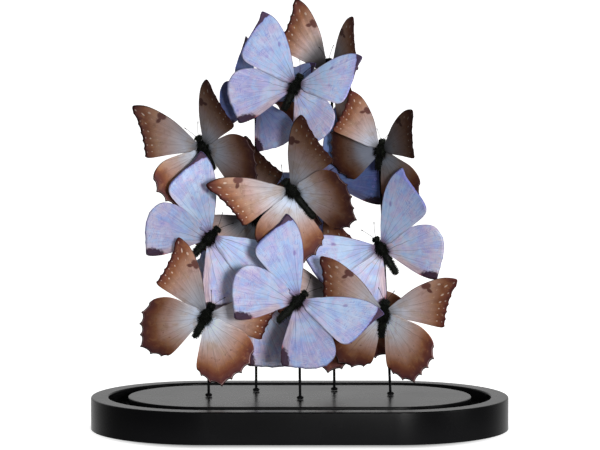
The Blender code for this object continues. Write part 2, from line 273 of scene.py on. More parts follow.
class BodySettings(bpy.types.PropertyGroup):
    hair_count: count_setting("Hairs", "Hairs on one butterfly", 2600)
    hair_length: length_setting("Hair length", "Length of the hairs on the thorax", 3.2 * MM)
    fur: colour_setting("Fur", "Colour of the hairs", linear(14, 15, 12))


class StageSettings(bpy.types.PropertyGroup):
    wall_height: length_setting("Wall height", "Height of the white wall round the floor", 7.0)
    key: number_setting("Key light", "Power of the small main light", 32.0, subtype="POWER")
    fill: number_setting("Side light", "Power of the soft light from the right", 16.0,
                         subtype="POWER")
    front_sky: number_setting("Front sky", "Brightness of the surroundings in front", 0.27)
    back_sky: number_setting("Back sky", "Brightness of the surroundings behind", 0.95)
    contact: length_setting("Contact shadow", "Width of the soft shadow round the base", 22 * MM)
    floor_glow: number_setting("Floor glow", "Light that the floor gives by itself", 0.86)


# ---------------------------------------------------------------- meshes

def make_mesh_object(name, points, triangles, fields=None, smooth=True):
    """Make an object from arrays of points in metres, triangles and named per-point vectors."""
    def flat(values, kind):
        return np.ascontiguousarray(values, dtype=kind).ravel()

    mesh = bpy.data.meshes.new(name)
    mesh.vertices.add(len(points))
    mesh.vertices.foreach_set("co", flat(points, np.float32))
    mesh.loops.add(triangles.size)
    mesh.loops.foreach_set("vertex_index", flat(triangles, np.int32))
    mesh.polygons.add(len(triangles))
    mesh.polygons.foreach_set("loop_start", np.arange(0, triangles.size, 3, dtype=np.int32))
    mesh.update(calc_edges=True)
    for label, values in (fields or {}).items():
        layer = mesh.attributes.new(label, "FLOAT_VECTOR", "POINT")
        layer.data.foreach_set("vector", flat(values, np.float32))
    if smooth:
        mesh.shade_smooth()
    mesh.validate()
    obj = bpy.data.objects.new(name, mesh)
    bpy.context.scene.collection.objects.link(obj)
    return obj


def finish_piece(piece, material, slot, *nodes):
    """Give a piece its material and tie it to the frame."""
    piece.data.materials.clear()
    piece.data.materials.append(material)
    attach(piece, BODY)
    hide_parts(*nodes)


def merge_shells(shells):
    """Join (points, triangles) pairs into one pair of arrays."""
    starts = np.cumsum([0] + [len(points) for points, _ in shells])
    return (np.concatenate([points for points, _ in shells]),
            np.concatenate([triangles + start for (_, triangles), start in zip(shells, starts)]))


def grid_triangles(index):
    """Two triangles for each cell of a grid of point numbers, without the empty ones."""
    a, b = index[:-1, :-1].ravel(), index[:-1, 1:].ravel()
    c, d = index[1:, 1:].ravel(), index[1:, :-1].ravel()
    triangles = np.concatenate([np.stack([a, b, c], -1), np.stack([a, c, d], -1)])
    return triangles[(triangles != np.roll(triangles, 1, axis=1)).all(axis=1)]


def outward(points, triangles):
    """Turn the triangles round if the closed shell they make holds a negative volume."""
    a, b, c = (points[triangles[:, k]] for k in range(3))
    volume = np.einsum("ij,ij->i", a, np.cross(b, c)).sum()
    return points, triangles if volume > 0 else triangles[:, ::-1]


def skin(rings, poles=False, loop=False):
    """Closed shell over a stack of rings of points, from each ring to the next.

    With poles, the first and last ring are one point each. In a loop, the last ring meets
    the first.
    """
    index = np.arange(rings.shape[0] * rings.shape[1]).reshape(rings.shape[:2])
    if poles:
        index[[0, -1]] = index[[0, -1], :1]
    index = np.concatenate([index, index[:, :1]], axis=1)
    if loop:
        index = np.concatenate([index, index[:1]], axis=0)
    return outward(rings.reshape(-1, 3), grid_triangles(index))


def curve_through(points, count):
    """Points on a Catmull-Rom curve through the given ones, spaced evenly by parameter."""
    points = np.asarray(points, dtype=float)
    last = len(points) - 1
    place = np.linspace(0, last, count)
    index = np.minimum(place.astype(int), last - 1)
    t = (place - index)[:, None]
    before = points[np.maximum(index - 1, 0)]
    start, end = points[index], points[index + 1]
    after = points[np.minimum(index + 2, last)]
    bend = 2 * before - 5 * start + 4 * end - after
    turned = 3 * start - before - 3 * end + after
    return 0.5 * (2 * start + (end - before) * t + bend * t ** 2 + turned * t ** 3)


def turned_shell(heights, radii, around, ripple=0.0):
    """Surface of a radius r(h) turned about Y: x = r cos a, z = r sin a, closed at both ends.

    ripple adds a small wave along the length to the radius, for the rings of an abdomen.
    """
    dense = curve_through(np.stack([heights, radii], -1), 6 * len(heights))
    h, r = dense[:, :1], np.maximum(dense[:, 1:], 0.0)
    r = r * (1 + ripple * np.cos(2 * np.pi * h / ABDOMEN_RING))
    r[0] = r[-1] = 0.0
    angle = np.linspace(0, 2 * np.pi, around, endpoint=False)
    rings = np.broadcast_arrays(r * np.cos(angle), h, r * np.sin(angle))
    return skin(np.stack(rings, -1), poles=True)


def circles_across(directions, fixed, count):
    """Unit circles across each direction t, on the axes t x fixed and t x (t x fixed)."""
    first = np.cross(directions, fixed)
    first /= np.linalg.norm(first, axis=1)[:, None] + 1e-9
    second = np.cross(directions, first)
    angle = np.linspace(0, 2 * np.pi, count, endpoint=False)[None, :, None]
    return np.cos(angle) * first[:, None] + np.sin(angle) * second[:, None]


def tube_shell(path, radii, sides):
    """Tube of varying radius swept along a path, with a point at each end.

    Its rings are circles across the path, set against the axis that it least follows.
    """
    path = np.asarray(path, float)
    along = np.gradient(path, axis=0)
    along /= np.linalg.norm(along, axis=1)[:, None]
    fixed = np.eye(3)[np.argmin(np.abs(along).sum(axis=0))]
    radii = np.broadcast_to(radii, len(path))[:, None, None]
    rings = path[:, None] + radii * circles_across(along, fixed, sides)
    caps = np.repeat(path[[0, -1]][:, None], sides, axis=1)
    return skin(np.concatenate([caps[:1], rings, caps[1:]]), poles=True)


def hair_shells(roots, directions, lengths):
    """Thin three-sided spikes: ring k of a hair stands at root + d s + droop s^2, s = 0, 0.5, 1."""
    steps = np.array([0.0, 0.5, 1.0])
    widths = np.array([1.0, 0.75, 0.05]) * HAIR_WIDTH
    circles = circles_across(directions, HAIR_ACROSS, 3)
    centre = roots[:, None] + directions[:, None] * (lengths[:, None] * steps)[..., None]
    centre = centre + np.array(HAIR_DROOP) * (lengths[:, None] * steps ** 2)[..., None]
    points = centre[:, :, None] + widths[None, :, None, None] * circles[:, None]
    side, after = np.array([0, 1, 2]), np.array([1, 2, 0])
    faces = [np.array([[0, 2, 1], [6, 7, 8]])]
    for level in (0, 3):
        faces.append(np.stack([side + level, after + level, after + level + 3], -1))
        faces.append(np.stack([side + level, after + level + 3, side + level + 3], -1))
    triangles = 9 * np.arange(len(roots))[:, None, None] + np.concatenate(faces)
    return points.reshape(-1, 3), triangles.reshape(-1, 3)


# ---------------------------------------------------------------- butterflies

def turn(axis, degrees):
    """Rotation matrix about X, Y or Z."""
    cosine, sine = math.cos(math.radians(degrees)), math.sin(math.radians(degrees))
    first, second = {"X": (1, 2), "Y": (2, 0), "Z": (0, 1)}[axis]
    matrix = np.eye(3)
    matrix[first, first] = matrix[second, second] = cosine
    matrix[first, second], matrix[second, first] = -sine, sine
    return matrix


def to_world(points, pose):
    """Move points from the butterfly's own frame, in millimetres, to metres in the scene.

    It stands upright with its back to -Y, turned by its heading, pitch and roll.
    """
    turned = turn("Y", pose.heading) @ turn("X", 90) @ turn("X", pose.pitch)
    turned = turned @ turn("Y", pose.roll)
    return (points @ turned.T + np.array([pose.x, pose.y, pose.z])) * MM


def distance_to_line(points, line):
    """Shortest distance from each point to a polyline, in the plane."""
    start, step = line[:-1], np.diff(line, axis=0)
    away = points[:, None] - start[None]
    part = np.clip((away * step).sum(-1) / (step ** 2).sum(-1), 0, 1)
    return np.sqrt(((away - part[..., None] * step) ** 2).sum(-1).min(axis=1))


def wing_edge(wing, length):
    """Edge of a right wing lying flat, in millimetres, with its vein number at each point.

    The outline is a smooth curve through its control points. Between the veins of the
    outer edge it is drawn in by scallop sin(pi f), where f runs from 0 to 1 between two
    veins, and at each vein it stands out by tooth.
    """
    control = np.array([(r * math.sin(math.radians(a)), r * math.cos(math.radians(a)))
                        for r, a in wing.outline]) * length
    dense = curve_through(control, OUTLINE_POINTS)
    angle = np.degrees(np.arctan2(dense[:, 0], dense[:, 1]))
    cell = np.interp(angle, wing.veins, np.arange(len(wing.veins)))
    part = cell - np.floor(cell)
    reach = np.clip((cell - wing.first_outer) * 3, 0, 1)
    reach = reach * np.clip((wing.last_outer + 0.6 - cell) * 3, 0, 1)
    tooth = wing.tooth * np.exp(-(np.minimum(part, 1 - part) / TOOTH_WIDTH) ** 2)
    shift = reach * (tooth - wing.scallop * np.sin(np.pi * part) ** 0.8)
    edge = dense + dense / np.linalg.norm(dense, axis=1)[:, None] * shift[:, None]
    outer = (cell >= wing.first_outer - 0.2) & (cell <= wing.last_outer + 0.4)
    step = np.linalg.norm(np.diff(dense, axis=0), axis=1)
    step = step * np.where(outer[1:], 1 / EDGE_SPACING, 1 / SIDE_SPACING)
    travelled = np.concatenate([[0], np.cumsum(step)])
    wanted = np.linspace(0, travelled[-1], int(travelled[-1]) + 1)
    pick = np.interp(wanted, travelled, np.arange(len(dense)))
    low = np.minimum(pick.astype(int), len(dense) - 2)
    t = (pick - low)[:, None]
    return edge[low] * (1 - t) + edge[low + 1] * t, np.interp(pick, np.arange(len(cell)), cell)


def wing_shell(label, part, side, settings, seed):
    """Closed shell of one wing, with the fields that its pattern reads.

    A point is root + u (edge(v) - root), with u from 0 at the root to 1 at the edge. Its
    height is a slow wave, a fold along each vein, and half the thickness up or down,
    which fades to nothing at the edge so that both faces meet there.
    """
    pose = SPECIMENS[label]
    wing = WINGS[pose.kind, part]
    length = WING_LENGTH[pose.kind]
    edge, cell = wing_edge(wing, length)
    root = np.array(WING_ROOT)
    rows, columns = settings.rows, len(edge) - 1
    u = np.linspace(0, 1, rows + 1)[:, None]
    flat = root + u[..., None] * (edge - root)[None]
    x, y = flat[..., 0], flat[..., 1]

    on_outer = np.nonzero((cell >= wing.first_outer) & (cell <= wing.last_outer))[0]
    first, last = on_outer[[0, -1]]
    edges = [distance_to_line(flat.reshape(-1, 2), line).reshape(x.shape)
             for line in (edge[:first + 1], edge[first:last + 1], edge[last:])]

    random = np.random.default_rng(seed)
    phase, tilt = random.uniform(0, 2 * np.pi, 3), random.uniform(-1, 1, 2)
    span = np.hypot(x, y) / length
    wave = np.sin(x / WAVE_LENGTHS[0] + phase[0]) * np.sin(y / WAVE_LENGTHS[1] + phase[1])
    wave += 0.8 * tilt[0] * span ** 2
    fold = np.cos(2 * np.pi * cell) * u ** 2
    height = span * settings.wave / MM * wave + settings.pleat / MM * fold
    height += 0.25 * tilt[1] * np.sin(3.0 * cell + phase[2]) * span ** 2
    rim = np.minimum(1, 6 * (1 - u)) * np.ones_like(x)
    rim[:, [0, -1]] = 0
    rim[0] = 0
    half = 0.5 * settings.thickness / MM * rim

    faces = [np.stack([x, y, height + half * up], -1).reshape(-1, 3) for up in (1, -1)]
    top = np.arange(x.size).reshape(rows + 1, columns + 1)
    top[0, :] = top[0, 0]
    bottom = top + x.size
    bottom[[0, -1]], bottom[:, [0, -1]] = top[[0, -1]], top[:, [0, -1]]
    triangles = np.concatenate([grid_triangles(top)[:, ::-1], grid_triangles(bottom)])

    def field(*parts):
        """One vector for each point of both faces."""
        vectors = np.stack([np.broadcast_to(one, x.shape) for one in parts], -1)
        return np.tile(vectors.reshape(-1, 3), (2, 1))

    wing_number = 2 * (part == "hind") + (side > 0)
    # The wing_tone field carries the painted light and shade at root and edge, and the value for
    # painted root shade, painted root sheen and missing marks
    fields = {
        "wing_place": field(x / length, y / length, seed * SEED_STEP % 50),
        "wing_field": field(cell, u, 1.0),
        "wing_edges": field(*edges),
        "wing_part": field(part == "fore", span, 0.0),
        "wing_tone": field(*PAINTED_LIGHT_AND_SHADE[label][wing_number], ROOT_SHADE_SHEEN_AND_MARKS.get((label, part, side), 0.0)),
    }
    fields["wing_field"][x.size:, 2] = 0.0
    turned = turn("Y", -pose.lift[wing_number]) @ turn("Z", pose.sweep[wing_number])
    shell = np.concatenate(faces) * pose.size @ turned.T + np.array(HINGE[part])
    shell, triangles = outward(shell * np.array([side, 1, 1]), triangles)
    return to_world(shell, pose), triangles, fields


def body_shells(pose, settings, seed):
    """Thorax, head, ringed abdomen, eyes, feelers, legs and hairs in the butterfly's frame."""
    tail = WAIST - ABDOMEN_LENGTH * pose.abdomen
    abdomen = ((tail, tail + 0.7, tail + 3.0, -10.0, -6.5, -4.4, -3.4),
               (0, 1.0, 1.95, 2.45, 2.5, 2.1, 0))
    shells = [turned_shell(*THORAX, 20), turned_shell(*HEAD, 16), turned_shell(*abdomen, 18, 0.05)]

    def limb(points, count, places, radii):
        line = curve_through(points, count)
        shells.append(tube_shell(line, np.interp(np.arange(count), places, radii), 6))

    for side in (-1, 1):
        points, triangles = turned_shell(*EYE, 12)
        shells.append((points + np.array([1.6 * side, 7.5, 0.4]), triangles))
        limb([(0.6 * side, 8.4, 0.8), (1.6 * side, 11.0, 1.4), (3.4 * side, 14.8, 1.8),
              (5.2 * side, 18.0, 1.9)], 14, [0, 10, 12, 13], [0.16, 0.15, 0.32, 0.2])
        for reach in (3.2, 0.2, -2.8):
            limb([(1.2 * side, reach, -1.4), (3.0 * side, reach + 0.6, -3.0),
                  (4.4 * side, reach - 1.4, -2.4), (4.0 * side, reach - 4.6, -3.1)],
                 13, [0, 4, 8, 12], [0.42, 0.28, 0.2, 0.1])
    shells.append(fur(settings, seed, tail))
    points, triangles = merge_shells(shells)
    return points * pose.size, triangles


def fur(settings, seed, tail):
    """Hairs that lean back along the body: long on the thorax, shorter on head and abdomen."""
    random = np.random.default_rng(1000 + seed)
    along = random.uniform(tail + 0.8, 8.8, settings.hair_count)
    keep = random.uniform(0, 1, len(along)) < np.where(along > WAIST, 1.0, 0.45)
    along = along[keep]
    radius = np.interp(along, [tail, tail + 3, -10, -5.5, -3.5, 0, 3, 5.4, 7.4, 9],
                       [0.8, 1.9, 2.4, 2.3, 2.7, 3.45, 3.0, 1.8, 2.1, 1.2])
    angle = random.uniform(0, 2 * np.pi, len(along))
    out = np.stack([np.cos(angle), np.zeros_like(angle), np.sin(angle)], -1)
    roots = out * radius[:, None] * 0.94
    roots[:, 1] = along
    stray = np.stack([random.normal(0, spread, len(along)) for spread in (0.22, 0.3, 0.22)], -1)
    stray[:, 1] += np.where(along > 6.0, 0.7, -0.4)
    directions = out + stray
    directions /= np.linalg.norm(directions, axis=1)[:, None]
    lengths = settings.hair_length / MM * np.interp(
        along, [tail, -6, -3, 3, 6, 9], [0.45, 0.50, 1.0, 1.0, 0.65, 0.5])
    return hair_shells(roots, directions, lengths * random.uniform(0.6, 1.15, len(along)))


def build_butterfly(label, material_wing, material_body):
    """One butterfly as two pieces, the four wings and the body, in place of its solid."""
    pose = SPECIMENS[label]
    scene = bpy.context.scene
    seed = list(SPECIMENS).index(label)
    made = [wing_shell(label, part, side, scene.wing_look,
                       4 * seed + 2 * (part == "fore") + (side > 0))
            for part in ("hind", "fore") for side in (-1, 1)]
    fields = {name: np.concatenate([values[name] for _, _, values in made])
              for name in made[0][2]}
    wings = make_mesh_object(f"{pose.kind}_wings_{label}",
                             *merge_shells([shell[:2] for shell in made]), fields)
    points, triangles = body_shells(pose, scene.body_look, seed)
    body = make_mesh_object(f"{pose.kind}_body_{label}", to_world(points, pose), triangles)
    for piece, material in ((wings, material_wing), (body, material_body)):
        kind = f"{pose.kind}_butterfly"
        finish_piece(piece, material, kind, f"{kind}_{label}")


# ---------------------------------------------------------------- shading

class Value:
    """An output of a node. Sums and products of values, and the methods below, add nodes."""

    def __init__(self, graph, socket):
        self.graph, self.socket = graph, socket

    def __add__(self, other):
        return self.math("ADD", other)

    def __sub__(self, other):
        return self.math("SUBTRACT", other)

    def __rsub__(self, other):
        return self.graph.math("SUBTRACT", other, self)

    def __mul__(self, other):
        return self.math("MULTIPLY", other)

    def __truediv__(self, other):
        return self.math("DIVIDE", other)

    def __pow__(self, other):
        return self.math("POWER", other)

    def math(self, operation, *others):
        return self.graph.math(operation, self, *others)

    def outputs(self):
        """Every output of the same node."""
        return [Value(self.graph, socket) for socket in self.socket.node.outputs]

    def split(self):
        return self.graph.node("SeparateXYZ", {0: self}).outputs()

    def step(self, low, high):
        """Rises smoothly from 0 at low to 1 at high; falls where high is below low."""
        falling = not isinstance(low, Value) and low > high
        ends = (high, low, 1.0, 0.0) if falling else (low, high, 0.0, 1.0)
        names = ("From Min", "From Max", "To Min", "To Max")
        return self.graph.node("MapRange", {"Value": self, **dict(zip(names, ends))},
                               interpolation_type="SMOOTHSTEP")

    def noise(self, scale, detail=3.0, roughness=0.55, distortion=0.0):
        return self.graph.node("TexNoise", {
            "Vector": self, "Scale": scale, "Detail": detail, "Roughness": roughness,
            "Distortion": distortion})

    def ramp(self, stops):
        """Colour ramp with a list of places and linear colours."""
        made = self.graph.node("ValToRGB", {"Fac": self})
        elements = made.socket.node.color_ramp.elements
        while len(elements) < len(stops):
            elements.new(1.0)
        for element, (place, shade) in zip(elements, stops):
            element.position = place
            element.color = (*shade, 1.0)
        return made


class Graph:
    """Wires nodes into one tree; an input may be a value, a number or a colour."""

    def __init__(self, tree):
        self.tree = tree

    def feed(self, socket, value):
        if isinstance(value, Value):
            self.tree.links.new(value.socket, socket)
        elif value is not None:
            if socket.type == "RGBA" and len(value) == 3:
                value = (*value, 1.0)
            socket.default_value = value

    def node(self, kind, inputs=(), output=0, **settings):
        """Add a node with its settings and inputs, and return one of its outputs."""
        made = self.tree.nodes.new("ShaderNode" + kind)
        for name, value in settings.items():
            setattr(made, name, value)
        for name, value in dict(inputs).items():
            self.feed(made.inputs[name], value)
        return Value(self, made.outputs[output])

    def math(self, operation, a, b=0.0, c=0.0, clamp=False):
        return self.node("Math", {0: a, 1: b, 2: c}, operation=operation, use_clamp=clamp)

    def mix(self, factor, a, b):
        return self.node("Mix", {0: factor, 6: a, 7: b}, 2, data_type="RGBA", clamp_factor=True)

    def combine(self, x, y, z):
        return self.node("CombineXYZ", {0: x, 1: y, 2: z})

    def scale(self, shade, tone):
        """Multiply a colour by a single value."""
        return self.node("VectorMath", {0: shade, "Scale": tone}, operation="SCALE")

    def object_place(self):
        return self.node("TexCoord", output="Object")

    def group(self, name, inputs):
        return self.node("Group", inputs, node_tree=bpy.data.node_groups[name])


def far_from(a, b):
    """Distance sqrt(a^2 + b^2)."""
    return (a ** 2.0 + b ** 2.0).math("SQRT")


def wing_veins(graph, place, vein, reach, width):
    """Thin lines where the vein number is whole, the odd ones starting further out."""
    vein = vein + (place.noise(5.0, 2.0) - 0.5) * (reach.step(1.0, 0.3) * 0.9)
    nearest = vein.math("ROUND")
    distance = (vein - nearest).math("ABSOLUTE") * (reach * 6.0)
    odd = nearest.math("PINGPONG", 1.0)
    begins = odd * 0.40
    there = reach.step(begins, begins + 0.06) * odd.math("MULTIPLY_ADD", -0.45, 1.0)
    taper = width * reach.math("MULTIPLY_ADD", 0.45, 0.55)
    return {"Line": graph.math("SUBTRACT", 1.0, distance / taper, clamp=True) * there}


def edge_spots(graph, vein, edge, row, radius, first, last, seed):
    """A row of round spots, one between each two veins, a set distance from an edge."""
    across = (vein.math("FRACT") - 0.5) * 5.2
    number_of = vein.math("FLOOR") + seed
    vary = graph.node("TexWhiteNoise", {"W": number_of}, noise_dimensions="1D")
    far = far_from(across, edge - (row + (vary - 0.5) * 0.5))
    spot = graph.math("SUBTRACT", 1.35, far / (radius * (vary * 0.5 + 0.75)), clamp=True)
    there = vein.math("GREATER_THAN", first) * vein.math("LESS_THAN", last)
    return {"Spot": spot.step(0.0, 0.8) * there}


def wing_blotch(graph, place, centre, turned, long, wide, ragged, soft):
    """A ragged oval at a place on the wing, in wing lengths, with a turn and two radii."""
    x, y, _ = graph.node("VectorMath", {0: place, 1: centre}, operation="SUBTRACT").split()
    cosine, sine = turned.math("COSINE"), turned.math("SINE")
    far = far_from((x * cosine + y * sine) / long, (y * cosine - x * sine) / wide)
    far = far + (place.noise(26.0, 3.0) - 0.5) * ragged * 3.0
    return {"Mask": 1.0 - far.step(1.0 - soft, soft + 1.0)}


def silky_streaks(graph, vein, reach, seed, fineness):
    """Silky streaks that run from the root towards the edge, broken off here and there."""
    along = graph.combine(vein * fineness, reach * 4.5, seed)
    return {"Value": along.noise(1.0, 3.0, 0.65, 0.35)}


def edge_ripples(graph, place, edge, apart):
    """Wavy lines that follow the outer edge, a set distance apart, broken by slow clouds."""
    wave = ((edge + place.noise(9.0, 3.0) * 9.0) / apart * (2 * math.pi)).math("SINE")
    return {"Value": wave.step(0.1, 0.9) * place.noise(15.0, 3.0).step(0.42, 0.62)}


def scale_grain(graph, place, amount):
    """Dusty grain of wing scales, as a brightness near 1 and a height."""
    fine, broad = place.noise(260.0, 2.0, 0.7), place.noise(9.0, 4.0, 0.6)
    swing = (fine * 0.5 + broad * 0.5 - 0.5) * amount
    return {"Tone": swing * 2.0 + 1.0, "Height": fine}


def fine_dust(graph, place, amount):
    """Faint dust and wipe marks for lacquer and paint, as a roughness offset and a height."""
    specks = place.noise(900.0, 2.0, 0.6).step(0.62, 0.75)
    clouds = place.noise(22.0, 4.0, 0.6)
    return {"Roughness": (specks * 0.5 + (clouds - 0.5)) * amount, "Height": clouds}


# Node groups by the function that wires them, with the default of each input; None is a place
GROUPS = {
    wing_veins: {"Place": None, "Vein": 0.0, "Reach": 0.0, "Width": 0.3},
    edge_spots: {"Vein": 0.0, "Edge": 0.0, "Row": 4.0, "Radius": 0.7, "First": 2.0,
                 "Last": 8.0, "Seed": 0.0},
    wing_blotch: {"Place": None, "Centre": None, "Turn": 0.0, "Long": 0.05, "Wide": 0.05,
                  "Ragged": 0.3, "Soft": 0.3},
    silky_streaks: {"Vein": 0.0, "Reach": 0.0, "Seed": 0.0, "Fineness": 14.0},
    edge_ripples: {"Place": None, "Edge": 0.0, "Apart": 1.3},
    scale_grain: {"Place": None, "Amount": 0.1},
    fine_dust: {"Place": None, "Amount": 0.05},
}


def build_groups():
    """Make a shader group of each function, with named sockets for what it takes and gives."""
    for wire, inputs in GROUPS.items():
        tree = bpy.data.node_groups.new(wire.__name__, "ShaderNodeTree")
        for key, default in inputs.items():
            kind = "NodeSocketVector" if default is None else "NodeSocketFloat"
            socket = tree.interface.new_socket(key, in_out="INPUT", socket_type=kind)
            if default is not None:
                socket.default_value = default
        graph = Graph(tree)
        source = tree.nodes.new("NodeGroupInput")
        results = wire(graph, *(Value(graph, source.outputs[key]) for key in inputs))
        for key in results:
            tree.interface.new_socket(key, in_out="OUTPUT", socket_type="NodeSocketFloat")
        sink = tree.nodes.new("NodeGroupOutput")
        for key, value in results.items():
            graph.feed(sink.inputs[key], value)


def new_material(name):
    """Start a node material and return it with its graph and its Principled shader."""
    material = bpy.data.materials.new(name)
    material.use_nodes = True
    return material, Graph(material.node_tree), material.node_tree.nodes["Principled BSDF"]


def dress(graph, shader, shade, roughness, height, strength, depth, specular):
    """Feed a shader its colour, its roughness, a bump from a height and its specular level."""
    graph.feed(shader.inputs["Base Color"], shade)
    graph.feed(shader.inputs["Roughness"], roughness)
    bump = graph.node("Bump", {"Height": height, "Strength": strength, "Distance": depth})
    graph.feed(shader.inputs["Normal"], bump)
    shader.inputs["Specular IOR Level"].default_value = specular


class WingPaint:
    """A wing's material in the making: the fields of its mesh, and coats over one another."""

    def __init__(self, name, sway, fore_bands, hind_bands):
        """Start with bands of colour, as places from root to edge and display values."""
        self.material, self.graph, self.shader = new_material(name)
        self.place, field, edges, part, wing_shade_fields = (
            self.graph.node("Attribute", output="Vector", attribute_name="wing_" + layer)
            for layer in ("place", "field", "edges", "part", "tone"))
        self.vein, self.reach, self.face = field.split()
        self.front, self.outer, self.rear = edges.split()
        self.fore, self.span, _ = part.split()
        self.hind = 1.0 - self.fore
        self.seed = self.place.split()[2]
        # The last field holds the painted light and shade at root and edge, and the painted root
        # shadow, painted root sheen and missing marks
        near, far, self.trait = wing_shade_fields.split()
        from_root = self.span / (self.span + self.outer / BAND_LENGTH)
        # Painted light and shade: a multiplier of the colour, running from the root's value to the
        # edge's
        self.tone = from_root.step(0.25, 0.92).math("MULTIPLY_ADD", far - near, near)
        self.from_root = from_root + (self.place.noise(7.0, 4.0) - 0.5) * sway
        fore, hind = (self.from_root.ramp([(place, linear(*shade)) for place, *shade in bands])
                      for bands in (fore_bands, hind_bands))
        self.colour = self.graph.mix(self.fore, hind, fore)

    def coat(self, mask, strength, shade):
        """Lay a colour, in display values or from a node, where the mask is."""
        if not isinstance(shade, Value):
            shade = linear(*shade)
        self.colour = self.graph.mix(mask * strength, self.colour, shade)

    def blotch(self, centre, turned, long, wide, ragged, soft):
        """Mask of one blotch; its centre is in wing lengths on a flat right wing."""
        flat = self.graph.node("VectorMath", {0: self.place, 1: (1, 1, 0)}, operation="MULTIPLY")
        return self.graph.group("wing_blotch", {
            "Place": flat, "Centre": (*centre, 0.0), "Turn": math.radians(turned),
            "Long": long, "Wide": wide, "Ragged": ragged, "Soft": soft})

    def spots(self, row, radius, first, last):
        return self.graph.group("edge_spots", {
            "Vein": self.vein, "Edge": self.outer, "Row": row, "Radius": radius,
            "First": first, "Last": last, "Seed": self.seed})

    def streaks(self, reach, seed, fineness):
        return self.graph.group("silky_streaks", {
            "Vein": self.vein, "Reach": reach, "Seed": seed, "Fineness": fineness})

    def veins(self, width):
        return self.graph.group("wing_veins", {
            "Place": self.place, "Vein": self.vein, "Reach": self.reach, "Width": width})

    def ragged(self, scale, swing):
        """How far a border wanders in and out, in millimetres."""
        return (self.place.noise(scale) - 0.5) * swing

    def finish(self, pale, dark, roughness, silk):
        """Underside, grain, vein relief and finish; silk is the metallic share.

        The underside has a pale ground with wavy lines across and a row of ringed eyes.
        """
        above = self.colour
        across = self.graph.combine(self.vein * 0.9, self.outer * 0.55, self.seed)
        lines = across.noise(1.6, 3.0, 0.6, 0.6).step(0.44, 0.62)
        self.colour = self.graph.mix(lines, linear(*pale), linear(*dark))
        for radius, strength, shade in ((2.1, 0.6, (168, 142, 104)), (1.6, 0.85, (56, 42, 38)),
                                        (0.35, 0.7, (214, 208, 200))):
            self.coat(self.spots(9.0, radius, 3.0, 7.0), strength, shade)
        both = self.graph.mix(self.face, self.colour, above)
        grain = self.graph.group("scale_grain", {"Place": self.place, "Amount": 0.22})
        tone, height = grain.outputs()
        dress(self.graph, self.shader, self.graph.scale(both, tone), roughness,
              height * 0.25 + self.veins(0.4), strength=0.18, depth=0.15 * MM, specular=0.2)
        self.shader.inputs["Metallic"].default_value = silk
        return self.material


